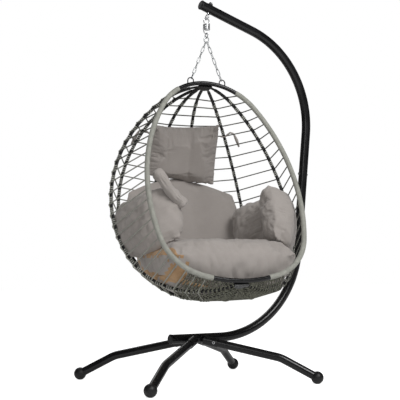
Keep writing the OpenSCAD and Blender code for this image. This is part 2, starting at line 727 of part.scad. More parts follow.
// How far the soft parts' backs stand inside the ribs' axes
liner_lift = 7.2;
back_lift = 2.6;
side_lift = 4.6;
right_lift = 3.4;
pillow_lift = 6.7;
cushion_n = 14;
module back_cushion() {
  color(cloth) rim_frame()
    wall_cushion([2.05, 4.98], [0.345, 0.345], [0.635, 0.635], back_lift, back_t,
                 cushion_n, seam_at, 0.1, 0.055);
}
left_j = [0.03, 1.95];
left_top = [0.50, 0.465];
left_low = [0.71, 0.60];
right_j = [5.06, 6.97];
right_top = [0.455, 0.475];
right_low = [0.60, 0.70];
module side_cushion_left() {
  color(cloth) rim_frame()
    wall_cushion(left_j, left_top, left_low, side_lift, side_t, cushion_n,
                 side_seam, c = side_core);
}
module side_cushion_right() {
  color(cloth) rim_frame()
    wall_cushion(right_j, right_top, right_low, right_lift, side_t, cushion_n,
                 side_seam, c = side_core);
}
// The flap is rolled up over the left cushion's top, from the rim inward
flap_from = [-352, -541, -5];
flap_way = [124, -166, -20];
flap_sag = -10;
module side_flap_left() {
  color(cloth) rim_frame() wire_tube(
    [for (t = [0:0.25:1]) flap_from + flap_way * t + [0, flap_sag * 4 * t * (1 - t), 0]],
    flap_d / 2, 12);
}
pillow_j = [2.52, 4.82];
pillow_top = [0.19, 0.18];
pillow_low = [0.335, 0.36];
pillow_bow = -0.15;
pillow_flare = 0.24;
module head_pillow() {
  color(cloth) rim_frame()
    wall_cushion(pillow_j, pillow_top, pillow_low, pillow_lift, pillow_t, cushion_n,
                 seam_at, pillow_bow, 0, pillow_flare);
}
// A tie is sewn to the pillow's side seam, passes out between two rows and hangs
tie_r = 3;
tie_at = -2 / 7;
tie_off = 0.0033;
module tie(side) {
  f = first_row + 4.5 * row_step;
  j = pad_j(pillow_j, side, tie_at, pillow_bow, pillow_flare);
  seam_f = pad_f(pillow_top, pillow_low, side, tie_at, pillow_bow, 0);
  wire_tube([
    lifted(seam_f, j + side * tie_off, pillow_lift + pillow_t * seam_at),
    lifted(f, j + side * 0.12, pillow_lift + pillow_t * 0.2),
    lifted(f, j + side * 0.25, -2), lifted(f + 0.01, j + side * 0.32, -12),
    lifted(f + 0.05, j + side * 0.34, -14)
  ], tie_r, 8);
}
module pillow_ties() {
  color(cloth) rim_frame() {
    tie(-1);
    tie(1);
  }
}
// The seat cushion: a crowned pad whose underside follows the bowl
seat_y = -135;
seat_z = 647;
seat_n = 16;
seat_bow = 0.22;
seat_narrow = 0.06;
function seat_pt(u, v, h) = [
  seat_size[0] / 2 * bowed(u, v, seat_bow) * (1 - seat_narrow * (1 - v) / 2),
  seat_y + seat_size[1] / 2 * bowed(v, u, seat_bow), seat_z + h
];
module seat_cushion() {
  grid = [for (i = [0:seat_n]) [for (k = [0:seat_n])
    let (u = 2 * i / seat_n - 1, v = 2 * k / seat_n - 1, e = seam_shape(u, v))
    [u, v, e]]];
  color(cloth) hang_frame() pillow_skin(
    [for (row = grid) [for (g = row) seat_pt(g[0], g[1], -seat_down * g[2])]],
    [for (row = grid) [for (g = row) seat_pt(g[0], g[1], seat_up * g[2])]], seat_n);
}
liner_n = 12;
liner_j = [3.5, 3.0];
liner_f = [0.835, 0.085];
liner_edge = 3;
module seat_liner() {
  grid = [for (i = [0:liner_n]) [for (k = [0:liner_n])
    let (u = 2 * i / liner_n - 1, v = 2 * k / liner_n - 1)
    [liner_j[0] + liner_j[1] * bowed(u, v, seat_bow),
     liner_f[0] + liner_f[1] * bowed(v, u, seat_bow),
     min(1, liner_edge * seam_shape(u, v)) / 2]]];
  color(tan_cloth) rim_frame() pillow_skin(
    [for (row = grid) [for (g = row) lifted(g[1], g[0], liner_lift + liner_t * (0.5 + g[2]))]],
    [for (row = grid) [for (g = row) lifted(g[1], g[0], liner_lift + liner_t * (0.5 - g[2]))]],
    liner_n);
}

translate(-box_middle) {
  lower_pole();
  upper_pole();
  pole_bolt();
  pole_nut();
  base_end_cap();
  arm_end_cap();
  leg_front_left();
  leg_front_right();
  leg_rear_left();
  leg_rear_right();
  leg_bolts();
  leg_nuts();
  leg_sockets();
  ball_feet();
  eye_bolt();
  eye_nut();
  eye_washer();
  spring();
  upper_ring();
  lower_ring();
  chain_left();
  chain_right();
  rim();
  hanging_loops();
  rim_winding_left();
  rim_winding_right();
  rib_hub_top();
  rib_hub_bottom();
  rib_1();
  rib_2();
  rib_3();
  rib_4();
  rib_5();
  rib_6();
  strands_1();
  strands_2();
  strands_3();
  strands_4();
  strands_5();
  strands_6();
  strands_7();
  head_pillow();
  pillow_ties();
  back_cushion();
  seat_cushion();
  side_cushion_left();
  side_cushion_right();
  side_flap_left();
  seat_liner();
}
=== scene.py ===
# %% [markdown]
# # A hanging egg chair
# A black bent-tube stand on four ball feet carries an open woven basket on a
# spring and two short chains. The solid frame, the rings and the fasteners come
# in already modelled, as named nodes in metres. What is left for Blender is what
# a solid modeller does badly: the spring's round wire, the winding on the rim,
# the strands knotted round the ribs, the filled cushions, and every finish.

# %% Load the frame
import json
import math
import bpy
from mathutils import Matrix, Vector, noise
from mathutils.kdtree import KDTree


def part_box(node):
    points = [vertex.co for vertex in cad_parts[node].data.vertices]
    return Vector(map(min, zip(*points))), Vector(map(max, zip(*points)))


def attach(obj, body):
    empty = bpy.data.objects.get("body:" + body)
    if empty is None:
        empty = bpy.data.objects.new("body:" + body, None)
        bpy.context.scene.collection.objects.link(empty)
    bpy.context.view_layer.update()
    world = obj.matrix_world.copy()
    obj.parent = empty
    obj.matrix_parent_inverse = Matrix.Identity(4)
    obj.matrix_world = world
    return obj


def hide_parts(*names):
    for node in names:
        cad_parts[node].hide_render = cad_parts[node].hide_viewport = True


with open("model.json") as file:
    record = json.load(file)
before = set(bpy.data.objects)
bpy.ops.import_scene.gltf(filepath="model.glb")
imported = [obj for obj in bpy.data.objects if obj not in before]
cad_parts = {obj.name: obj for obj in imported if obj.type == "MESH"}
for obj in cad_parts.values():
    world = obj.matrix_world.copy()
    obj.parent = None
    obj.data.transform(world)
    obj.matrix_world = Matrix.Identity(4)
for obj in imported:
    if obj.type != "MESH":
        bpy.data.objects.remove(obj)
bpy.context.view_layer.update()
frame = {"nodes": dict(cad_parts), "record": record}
scene = bpy.context.scene


# %% Small helpers for selecting and finishing
def pick(piece):
    """Selects one piece alone, because an operator acts on all that is selected."""
    bpy.ops.object.select_all(action="DESELECT")
    piece.select_set(True)
    bpy.context.view_layer.objects.active = piece


def edit(piece, *steps):
    """Runs operators on a whole piece in edit mode."""
    pick(piece)
    bpy.ops.object.mode_set(mode="EDIT")
    bpy.ops.mesh.select_all(action="SELECT")
    for step in steps:
        step()
    bpy.ops.object.mode_set(mode="OBJECT")


def apply_all(piece):
    """Applies a piece's modifiers from the first to the last."""
    pick(piece)
    for name in [modifier.name for modifier in piece.modifiers]:
        bpy.ops.object.modifier_apply(modifier=name)


def seat_on(piece, body, slot, *nodes):
    """Says which body carries a piece and the nodes it stands for; the slot argument is not
    used.
    """
    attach(piece, body)
    if nodes:
        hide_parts(*nodes)
    return piece


# %% [markdown]
# ## Camera
# A long lens five metres away, level with the seat and looking slightly up the
# pole, as a catalogue shows such a chair. A long lens keeps the basket's
# ellipse true. It is made first so that every later step can be judged through it.

# %% Camera
CAMERA_PLACE = (-2.638, -4.2517, 0.611)
CAMERA_TURN = -31.0
CAMERA_PITCH = 3.74
FLOOR_SIZE = 30
SENSOR_MM = 36.0
FOCAL_PX, PICTURE_PX = 951.2, 400
LENS_MM = FOCAL_PX / PICTURE_PX * SENSOR_MM
bpy.ops.object.camera_add(
    location=CAMERA_PLACE,
    rotation=(math.radians(90 + CAMERA_PITCH), 0, math.radians(CAMERA_TURN)))
camera = bpy.context.object
camera.data.sensor_width = SENSOR_MM
camera.data.lens = LENS_MM
camera.data.clip_end = FLOOR_SIZE * 2
scene.camera = camera
print("lens", round(LENS_MM, 1), "mm")

# %% [markdown]
# ## Shared shader groups
# Three effects serve more than one finish, so each is a node group with named
# inputs: a fine mottling for coats and castings, a plain weave for cloth, and a
# lengthwise grain for plastic strand. A group gives out only colours, values and
# normals; the Principled shader stays in each material.


# %% Node helpers
def new_group(name, inputs, outputs):
    """An empty shader group with its sockets, its input node and its output node."""
    tree = bpy.data.node_groups.new(name, "ShaderNodeTree")
    for label, kind, value in inputs:
        socket = tree.interface.new_socket(name=label, in_out="INPUT", socket_type=kind)
        socket.default_value = value
    for label, kind in outputs:
        tree.interface.new_socket(name=label, in_out="OUTPUT", socket_type=kind)
    return tree, tree.nodes.new("NodeGroupInput"), tree.nodes.new("NodeGroupOutput")


def add_node(tree, kind, links=None, **values):
    """Adds a node, sets its fields or sockets by name and links what feeds it."""
    node = tree.nodes.new(kind)
    for name, value in values.items():
        if hasattr(node, name):
            setattr(node, name, value)
        else:
            node.inputs[name.replace("_", " ")].default_value = value
    for name, source in (links or {}).items():
        tree.links.new(source, node.inputs[name])
    return node


def mixed(tree, amount, first, second):
    """A colour mix whose amount and colours come from sockets."""
    node = tree.nodes.new("ShaderNodeMix")
    node.data_type = "RGBA"
    for index, source in ((0, amount), (6, first), (7, second)):
        if isinstance(source, bpy.types.NodeSocket):
            tree.links.new(source, node.inputs[index])
        else:
            node.inputs[index].default_value = source
    return node.outputs[2]


def spread(tree, source, low, high, to_low=0.0, to_high=1.0):
    """Stretches a value from one range to another, held at the ends."""
    node = add_node(tree, "ShaderNodeMapRange", {"Value": source},
                    From_Min=low, From_Max=high, To_Min=to_low, To_Max=to_high)
    return node.outputs[0]


# %% [markdown]
# ### Mottled coat
# Powder coat has an orange-peel skin and gathers a little dust, here in broad patches.
# Two noises do it: a fine one for the bump and a broad one for the tone.

# %% Group: mottled coat
COLOUR, VALUE = "NodeSocketColor", "NodeSocketFloat"
coat, coat_in, coat_out = new_group(
    "mottled coat",
    [("Base", COLOUR, (0.02, 0.02, 0.02, 1)), ("Worn", COLOUR, (0.05, 0.05, 0.05, 1)),
     ("Grain Scale", VALUE, 500.0), ("Grain Depth", VALUE, 0.15),
     ("Low Roughness", VALUE, 0.35), ("High Roughness", VALUE, 0.5)],
    [("Color", COLOUR), ("Roughness", VALUE), ("Normal", "NodeSocketVector")])
place = add_node(coat, "ShaderNodeTexCoord").outputs["Object"]
broad = add_node(coat, "ShaderNodeTexNoise", {"Vector": place}, Scale=9.0, Detail=5.0)
fine = add_node(coat, "ShaderNodeTexNoise",
                {"Vector": place, "Scale": coat_in.outputs["Grain Scale"]}, Detail=2.0)
tone = spread(coat, broad.outputs["Fac"], 0.42, 0.75)
coat.links.new(mixed(coat, tone, coat_in.outputs["Base"], coat_in.outputs["Worn"]),
               coat_out.inputs["Color"])
rough = add_node(coat, "ShaderNodeMapRange", {
    "Value": broad.outputs["Fac"], "To Min": coat_in.outputs["Low Roughness"],
    "To Max": coat_in.outputs["High Roughness"]}, From_Min=0.3, From_Max=0.7)
coat.links.new(rough.outputs[0], coat_out.inputs["Roughness"])
skin = add_node(coat, "ShaderNodeBump", {
    "Height": fine.outputs["Fac"], "Strength": coat_in.outputs["Grain Depth"]},
    Distance=0.0004)
coat.links.new(skin.outputs["Normal"], coat_out.inputs["Normal"])
print(coat.name, len(coat.nodes), "nodes")

# %% [markdown]
# ### Plain weave
# Polyester cover cloth is a plain weave of about one thread each millimetre. Two
# crossed waves give the over and under, a noise lets the threads vary, and a
# slower noise fades the colour where the cloth is rubbed or creased.

# %% Group: plain weave
weave, weave_in, weave_out = new_group(
    "plain weave",
    [("Base", COLOUR, (0.3, 0.27, 0.25, 1)), ("Thread", COLOUR, (0.36, 0.33, 0.3, 1)),
     ("Threads", VALUE, 260.0), ("Depth", VALUE, 0.3), ("Blotch", VALUE, 0.3)],
    [("Color", COLOUR), ("Roughness", VALUE), ("Normal", "NodeSocketVector")])
place = add_node(weave, "ShaderNodeTexCoord").outputs["Object"]
wobble = add_node(weave, "ShaderNodeTexNoise", {"Vector": place}, Scale=60.0, Detail=3.0)
threads = []
for direction in ("X", "Z"):
    band = add_node(weave, "ShaderNodeTexWave", {
        "Vector": place, "Scale": weave_in.outputs["Threads"]},
        bands_direction=direction, Distortion=0.6, Detail=1.0)
    threads.append(band.outputs["Fac"])
crossed = add_node(weave, "ShaderNodeMath", {0: threads[0], 1: threads[1]},
                   operation="MULTIPLY")
speck = add_node(weave, "ShaderNodeMath", {0: crossed.outputs[0],
                                           1: wobble.outputs["Fac"]}, operation="MULTIPLY")
slow = add_node(weave, "ShaderNodeTexNoise", {"Vector": place}, Scale=7.0, Detail=6.0)
faded = add_node(weave, "ShaderNodeMath", {
    0: spread(weave, slow.outputs["Fac"], 0.35, 0.7), 1: weave_in.outputs["Blotch"]},
    operation="MULTIPLY")
both = add_node(weave, "ShaderNodeMath", {0: speck.outputs[0], 1: faded.outputs[0]},
                operation="ADD", use_clamp=True)
weave.links.new(mixed(weave, both.outputs[0], weave_in.outputs["Base"],
                      weave_in.outputs["Thread"]), weave_out.inputs["Color"])
weave.links.new(spread(weave, speck.outputs[0], 0.0, 1.0, 0.9, 0.72),
                weave_out.inputs["Roughness"])
cloth_skin = add_node(weave, "ShaderNodeBump", {
    "Height": crossed.outputs[0], "Strength": weave_in.outputs["Depth"]}, Distance=0.0006)
weave.links.new(cloth_skin.outputs["Normal"], weave_out.inputs["Normal"])
print(weave.name, len(weave.nodes), "nodes")

# %% [markdown]
# ### Strand grain
# Synthetic wicker is drawn plastic: it has fine streaks and weathers in patches
# from olive grey to almost white.

# %% Group: strand grain
grain, grain_in, grain_out = new_group(
    "strand grain",
    [("Base", COLOUR, (0.3, 0.3, 0.26, 1)), ("Bleached", COLOUR, (0.5, 0.5, 0.45, 1)),
     ("Patches", VALUE, 35.0), ("Depth", VALUE, 0.3)],
    [("Color", COLOUR), ("Roughness", VALUE), ("Normal", "NodeSocketVector")])
place = add_node(grain, "ShaderNodeTexCoord").outputs["Object"]
patch = add_node(grain, "ShaderNodeTexNoise", {
    "Vector": place, "Scale": grain_in.outputs["Patches"]}, Detail=6.0, Roughness=0.65)
streak = add_node(grain, "ShaderNodeTexNoise", {"Vector": place}, Scale=900.0, Detail=2.0)
shade = spread(grain, patch.outputs["Fac"], 0.35, 0.68)
grain.links.new(mixed(grain, shade, grain_in.outputs["Base"], grain_in.outputs["Bleached"]),
                grain_out.inputs["Color"])
grain.links.new(spread(grain, patch.outputs["Fac"], 0.3, 0.7, 0.5, 0.75),
                grain_out.inputs["Roughness"])
grain_skin = add_node(grain, "ShaderNodeBump", {
    "Height": streak.outputs["Fac"], "Strength": grain_in.outputs["Depth"]},
    Distance=0.0003)
grain.links.new(grain_skin.outputs["Normal"], grain_out.inputs["Normal"])
print(grain.name, len(grain.nodes), "nodes")


# %% [markdown]
# ## Finishes
# One material for each thing the chair is made of, with extra copies of the wicker
# darkened as painted shade. Constant numbers, such as metalness and sheen, are set
# on the shader's own sockets. The wicker has four tones: pale on the rim, darker
# rows in painted shade, palest on the lashings and a deeper painted shade, dark
# olive, on the close rows under the seat.


# %% Material helper
def finish_of(name, group, colours, values, **shader_values):
    """A Principled material fed by one of the shared groups."""
    material = bpy.data.materials.new(name)
    material.use_nodes = True
    tree = material.node_tree
    shader = tree.nodes["Principled BSDF"]
    for label, value in shader_values.items():
        shader.inputs[label.replace("_", " ")].default_value = value
    node = tree.nodes.new("ShaderNodeGroup")
    node.node_tree = group
    for label, colour in colours.items():
        node.inputs[label].default_value = (*colour, 1)
    for label, value in values.items():
        node.inputs[label].default_value = value
    tree.links.new(node.outputs["Color"], shader.inputs["Base Color"])
    tree.links.new(node.outputs["Roughness"], shader.inputs["Roughness"])
    tree.links.new(node.outputs["Normal"], shader.inputs["Normal"])
    return material


def paint(piece, material):
    """Gives a piece one material on all its faces."""
    piece.data.materials.clear()
    piece.data.materials.append(material)


# %% Finishes
black_coat = finish_of(
    "black powder coat", coat, {"Base": (0.006, 0.006, 0.0065), "Worn": (0.011, 0.011, 0.012)},
    {"Grain Scale": 650.0, "Grain Depth": 0.2, "Low Roughness": 0.2,
     "High Roughness": 0.28}, Specular_IOR_Level=0.4)
moulded_black = finish_of(
    "moulded black", coat, {"Base": (0.008, 0.008, 0.0085), "Worn": (0.014, 0.014, 0.015)},
    {"Grain Scale": 900.0, "Grain Depth": 0.35, "Low Roughness": 0.4,
     "High Roughness": 0.55}, Specular_IOR_Level=0.45)
bright_plate = finish_of(
    "bright plate", coat, {"Base": (0.78, 0.79, 0.8), "Worn": (0.6, 0.61, 0.62)},
    {"Grain Scale": 300.0, "Grain Depth": 0.08, "Low Roughness": 0.16,
     "High Roughness": 0.28}, Metallic=1.0)
zinc_plate = finish_of(
    "zinc plate", coat, {"Base": (0.62, 0.64, 0.65), "Worn": (0.42, 0.44, 0.44)},
    {"Grain Scale": 420.0, "Grain Depth": 0.2, "Low Roughness": 0.28,
     "High Roughness": 0.42}, Metallic=1.0)
pale_wicker = finish_of(
    "pale wicker", grain, {"Base": (0.27, 0.272, 0.24), "Bleached": (0.37, 0.37, 0.33)},
    {"Patches": 45.0, "Depth": 0.4}, Specular_IOR_Level=0.35)
# Painted shade: the rows' dark base is a shaded copy of the pale wicker, with weathered
# patches over it.
painted_shade_weathered_rows = finish_of(
    "shade-painted weathered rows", grain, {"Base": (0.06, 0.06, 0.05), "Bleached": (0.22, 0.22, 0.19)},
    {"Patches": 30.0, "Depth": 0.4}, Specular_IOR_Level=0.35)
pale_lashing = finish_of(
    "pale lashing", grain, {"Base": (0.3, 0.3, 0.26), "Bleached": (0.7, 0.7, 0.64)},
    {"Patches": 60.0, "Depth": 0.4}, Specular_IOR_Level=0.35)
# Painted shade: the close rows under the seat are near black olive for the shade under the
# basket, with paler patches over it.
dark_olive_painted_shade = finish_of(
    "olive rows in painted shade", grain, {"Base": (0.012, 0.012, 0.009), "Bleached": (0.26, 0.26, 0.2)},
    {"Patches": 110.0, "Depth": 0.4}, Specular_IOR_Level=0.35)
taupe_cloth = finish_of(
    "taupe cloth", weave, {"Base": (0.33, 0.30, 0.28), "Thread": (0.42, 0.385, 0.36)},
    {"Threads": 260.0, "Depth": 0.25, "Blotch": 0.35},
    Sheen_Weight=0.25, Sheen_Roughness=0.5, Specular_IOR_Level=0.25)
tan_cloth = finish_of(
    "tan cloth", weave, {"Base": (0.36, 0.215, 0.11), "Thread": (0.55, 0.37, 0.22)},
    {"Threads": 160.0, "Depth": 0.5, "Blotch": 0.6},
    Sheen_Weight=0.2, Sheen_Roughness=0.5, Specular_IOR_Level=0.2)

# %% [markdown]
# ## Carried-over nodes
# The tubes, bolts, rings and links already have their true shapes, so they only
# get a finish. The record's slot names say which.

# %% Finish the carried-over nodes
SLOT_FINISH = {
    "black_frame": black_coat, "black_plastic": moulded_black,
    "bright_steel": bright_plate, "zinc_steel": zinc_plate,
    "grey_wicker": pale_wicker, "taupe_fabric": taupe_cloth, "tan_fabric": tan_cloth,
}
for row in frame["record"]["subparts"]:
    if row["node"] in frame["nodes"]:
        paint(frame["nodes"][row["node"]], SLOT_FINISH[row["material_slot"]])
print("finishes:", len(bpy.data.materials))

# %% [markdown]
# ## The basket's geometry
# The rim is a closed egg of tangent arcs in one leaning plane, and each rib is a
# chain of arcs in its own plane through the line between the hubs. The same arcs
# that made the solids are repeated here, so that strands and winding follow them.

# %% Basket sizes
BASKET_TURN = math.radians(-8)
RIM_LEAN = math.radians(23)
RIM_TOP = 1.552
RIM_R = 0.011
WRAP_T = 0.0025
RIB_R = 0.006
COVER_T = 0.0028
STRAND_R = 0.0033
LOOP_X = 0.090
RIM_ARCS = [(0.303, -57), (0.980, -46.1), (0.265, -59.6)]
RIB_ANGLES = (9.65, 33.8, 60.5)
RIB_HEADS = (24, 14, 13)
RIB_ARCS = (
    [(0.450, -61), (0.600, -84), (0.540, -39)],
    [(0.540, -65), (0.530, -50), (0.690, -37)],
    [(0.330, -40), (0.650, -88), (0.410, -54)],
)
HUB_DEPTH = RIM_R
RIB_TOP_B = -0.013
RIB_LOW_UP = 0.003
BARE_TOP = 0.172
BARE_LOW = 0.150
ROWS = 25
FIRST_ROW, LAST_ROW = 0.10, 0.885
HANG = Vector(next(row["pos_m"] for row in frame["record"]["behaviour"]["joints"]
                   if row["name"] == "turn")).to_2d().to_3d()
loop_fall = RIM_ARCS[0][0] - math.sqrt(RIM_ARCS[0][0] ** 2 - LOOP_X ** 2)
RIM_FRAME = (
    Matrix.Translation(HANG) @ Matrix.Rotation(BASKET_TURN, 4, "Z")
    @ Matrix.Translation((0, loop_fall * math.sin(RIM_LEAN), RIM_TOP))
    @ Matrix.Rotation(math.radians(90) - RIM_LEAN, 4, "X"))
print("basket hangs at", [round(number, 3) for number in HANG])


# %% Routes made of arcs
def arc_end(pose, radius, turn):
    """Where a route's pose, a place and a heading, ends after one arc."""
    place, heading = pose
    side = math.copysign(1.0, turn)
    centre = place + radius * side * Vector((-math.sin(heading), math.cos(heading)))
    heading += math.radians(turn)
    return centre + radius * side * Vector((math.sin(heading), -math.cos(heading))), heading


def route_length(arcs):
    """How long a route of arcs is."""
    return sum(radius * math.radians(abs(turn)) for radius, turn in arcs)


def route_at(pose, arcs, length):
    """The place at a length along a route."""
    for radius, turn in arcs:
        size = radius * math.radians(abs(turn))
        if length <= size:
            return arc_end(pose, radius, turn * length / size)[0]
        pose = arc_end(pose, radius, turn)
        length -= size
    return pose[0]


def arc_to(pose, goal):
    """The arc that leaves a pose along its heading and ends at a goal."""
    chord = goal - pose[0]
    off = math.atan2(chord.y, chord.x) - pose[1]
    off = (off + math.pi) % (2 * math.pi) - math.pi
    return chord.length / (2 * math.sin(abs(off))), math.degrees(2 * off)


def route_pose(pose, arcs):
    """The pose at the end of a route of arcs."""
    for radius, turn in arcs:
        pose = arc_end(pose, radius, turn)
    return pose


# %% The eight members, from the rim's left side to its right
rim_start = (Vector((0, 0)), 0.0)
corner = route_pose(rim_start, RIM_ARCS)
rim_steps = RIM_ARCS + [(corner[0].x / math.sin(-corner[1]), -180 - math.degrees(corner[1]))]
rim_length = route_length(rim_steps)
rim_low = route_at(rim_start, rim_steps, rim_length).y
rib_starts = [(Vector((0, RIB_TOP_B)), math.radians(head)) for head in RIB_HEADS]
hub_low = Vector((0, rim_low - RIB_LOW_UP))
rib_steps = [arcs + [arc_to(route_pose(start, arcs), hub_low)]
             for start, arcs in zip(rib_starts, RIB_ARCS)]
rib_lengths = [route_length(steps) for steps in rib_steps]
print("rim", round(rim_length, 3), "ribs", [round(size, 3) for size in rib_lengths])


MIDDLE = 3.5
WAY_STEP = 0.002


def rib_of(k):
    """Which of the three rib shapes member k has; left and right share them."""
    return 3 - k if k < MIDDLE else k - 4


def member(k, f):
    """A place on member k's axis at the share f of its length, in the rim's frame."""
    side = -1 if k < MIDDLE else 1
    if k in (0, 7):
        place = route_at(rim_start, rim_steps, f * rim_length)
        return Vector((side * place.x, place.y, 0))
    rib = rib_of(k)
    angle = math.radians(side * RIB_ANGLES[rib])
    place = route_at(rib_starts[rib], rib_steps[rib], f * rib_lengths[rib])
    return Vector((place.x * math.sin(angle), place.y, -HUB_DEPTH - place.x * math.cos(angle)))


def member_way(k, f):
    """The heading of member k's axis there."""
    return (member(k, f + WAY_STEP) - member(k, f - WAY_STEP)).normalized()


# %% [markdown]
# ## Round wires and strands
# A curve with a round bevel is the plain way to a wire: its points are the
# route, and each point's own radius can swell or pinch it. It is turned into a
# mesh at the end, so that it exports like every other piece.


# %% Wire helper
SMOOTH_UNDER = math.radians(50)


def wire(name, routes, radius, swell=None, sides=2):
    """A round wire along each route of places; swell gives each point's own radius share."""
    data = bpy.data.curves.new(name, "CURVE")
    data.dimensions = "3D"
    data.bevel_depth = radius
    data.bevel_resolution = sides
    data.use_fill_caps = True
    for places in routes:
        spline = data.splines.new("POLY")
        spline.points.add(len(places) - 1)
        for point, place in zip(spline.points, places):
            point.co = (*place, 1)
        if swell:
            for index, point in enumerate(spline.points):
                point.radius = swell(index, len(places))
    piece = bpy.data.objects.new(name, data)
    scene.collection.objects.link(piece)
    pick(piece)
    bpy.ops.object.convert(target="MESH")
    bpy.ops.object.shade_smooth_by_angle(angle=SMOOTH_UNDER)
    return bpy.context.object


# %% [markdown]
# ## The spring
# Five and a half close curls of bright wire with a hook at each end. The curls
# are a helix, and a hook is most of a circle stood upright over the axis; a smooth
# bend joins them. Handles set by hand would not keep the curls even, so the route
# is worked out point by point and swept.

# %% Spring sizes
SPRING_D = 0.038
WIRE_R = 0.0027
COIL_R = SPRING_D / 2 - WIRE_R
CURLS = 6
CURL_GAP = 0.00045
COIL_PITCH = 2 * WIRE_R + CURL_GAP
LOOP_DOWN, LOOP_UP = 0.022, 0.032
HOOK_DROP = LOOP_DOWN + WIRE_R - SPRING_D / 2
HOOK_RISE = LOOP_UP + WIRE_R - SPRING_D / 2
spring_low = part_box("spring")[0]
coil_low = spring_low.z + WIRE_R + COIL_R + HOOK_DROP
coil_high = coil_low + (CURLS - 0.5) * COIL_PITCH


# %% Spring route
def coil_place(degrees):
    """A place on the helix of curls, which starts at half a turn."""
    turn = math.radians(degrees)
    return Vector((COIL_R * math.cos(turn), COIL_R * math.sin(turn),
                   coil_low + (degrees - 180) / 360 * COIL_PITCH))


def bend(a, b, c, d, steps):
    """Places on a Bezier bend, without its last one."""
    places = []
    for step in range(steps):
        t = step / steps
        places.append(a * (1 - t) ** 3 + 3 * b * t * (1 - t) ** 2
                      + 3 * c * t * t * (1 - t) + d * t ** 3)
    return places


def hook(first, last, step, centre_z):
    """Places on an upright hook round the axis, from one angle to another in degrees."""
    return [Vector((COIL_R * math.cos(math.radians(a)), 0,
                    centre_z + COIL_R * math.sin(math.radians(a))))
            for a in range(first, last, step)]


BEND_IN, BEND_STEPS = 18, 12
CURL_STEP, HOOK_STEP = 9, 5
LOW_HOOK_FROM, LOW_HOOK_TO, HIGH_HOOK_TO = 350, 184, 222
HANDLE_OUT, HANDLE_ROUND, HANDLE_UP = 0.0012, 0.0036, 0.0015
HIGH_BEND_RISE = 0.007
first_turn, last_turn = 180 + BEND_IN, CURLS * 360 - BEND_IN
low_hook = hook(LOW_HOOK_FROM, LOW_HOOK_TO, -HOOK_STEP, coil_low - HOOK_DROP)
low_bend = bend(Vector((-COIL_R, 0, coil_low - HOOK_DROP)),
                Vector((-COIL_R, 0, coil_low - HANDLE_UP)),
                coil_place(first_turn) + Vector((-HANDLE_OUT, HANDLE_ROUND, 0)),
                coil_place(first_turn), BEND_STEPS)
curls = [coil_place(a) for a in range(first_turn, last_turn, CURL_STEP)]
high_bend = bend(coil_place(last_turn),
                 coil_place(last_turn) + Vector((HANDLE_OUT, HANDLE_ROUND, 0)),
                 Vector((COIL_R, 0, coil_high + HANDLE_UP)),
                 Vector((COIL_R, 0, coil_high + HIGH_BEND_RISE)), BEND_STEPS)
high_hook = hook(0, HIGH_HOOK_TO, HOOK_STEP, coil_high + HOOK_RISE)
spring_route = [HANG + place for place in low_hook + low_bend + curls + high_bend + high_hook]
spring = wire("spring_wire", [spring_route], WIRE_R, sides=6)
paint(spring, bright_plate)
seat_on(spring, "spring", "bright_steel", "spring")
print("spring wire:", len(spring_route), "points")

# %% [markdown]
# ## The winding on the rim
# Flat strand is wound close round each side of the rim, from the bare arc at the
# top to the bare length at the bottom. Modelling it as one helix of real turns
# would cost hundreds of thousands of faces. A sleeve whose radius rises and falls
# once each turn, with the turns uneven by a little, reads the same.

# %% Rim winding
TURN_PITCH = 0.0052
POINTS_A_TURN = 4
RIDGE = (0.93, 1.0, 1.0, 0.95)
UNEVEN_SHARE, UNEVEN_PACE = 0.012, 0.37
END_TURNS, END_DRAWN = 3, 0.04


def winding_route(side):
    """Places along one side of the rim between its bare lengths."""
    length = rim_length - BARE_TOP - BARE_LOW
    count = round(length / TURN_PITCH) * POINTS_A_TURN
    places = []
    for step in range(count + 1):
        place = route_at(rim_start, rim_steps, BARE_TOP + length * step / count)
        places.append(RIM_FRAME @ Vector((side * place.x, place.y, 0)))
    return places


def winding_swell(index, count):
    """A ridge for each turn, uneven by a little, and drawn in at both ends."""
    turn = index // POINTS_A_TURN
    uneven = UNEVEN_SHARE * noise.noise((turn * UNEVEN_PACE, 2.0, 5.0))
    end = min(index, count - 1 - index) / (END_TURNS * POINTS_A_TURN)
    return RIDGE[index % POINTS_A_TURN] + uneven - END_DRAWN * max(0.0, 1 - end)


for side, word in ((-1, "left"), (1, "right")):
    sleeve = wire("rim_strand_" + word, [winding_route(side)], RIM_R + WRAP_T,
                  winding_swell, sides=6)
    paint(sleeve, pale_wicker)
    seat_on(sleeve, "basket", "grey_wicker", "rim_winding_" + word)
    print(sleeve.name, len(sleeve.data.polygons), "faces")

# %% [markdown]
# ## The strands
# Each row is one strand that runs from the left side of the rim to the right and
# passes behind every rib. A row is an open route of a few straight lengths, bent
# round the back of each rib, so a plain swept wire is enough. Under the seat the
# rows lie close and zigzag from rib to rib, which makes the dense bottom; its
# darkness is painted shade, a near black colour on those rows.

# %% Row routes
CORE = Vector((0, -0.6, -0.3))
COVER_R = RIB_R + COVER_T
BEHIND_DIP = 0.7
RIM_END_LOWER, LOWER_FADE = 0.025, 0.1
LOW_FIRST = 0.825
LOW_ROWS = 26
LOW_STEP = 0.0055
LOW_ZIGZAG = 0.009
ROW_STEP = (LAST_ROW - FIRST_ROW) / (ROWS - 1)
RIBS = range(1, 7)


def outward(k, f):
    """The direction away from the basket's middle at a place on member k, and its heading."""
    way = member_way(k, f)
    out = member(k, f) - CORE
    return (out - way * out.dot(way)).normalized(), way


def behind(k, f, ahead):
    """Three places that carry a strand round the back of rib k."""
    out, way = outward(k, f)
    reach = COVER_R + STRAND_R
    along = (ahead - way * ahead.dot(way)).normalized()
    return [member(k, f) + out * reach * BEHIND_DIP - along * reach,
            member(k, f) + out * reach,
            member(k, f) + out * reach * BEHIND_DIP + along * reach]


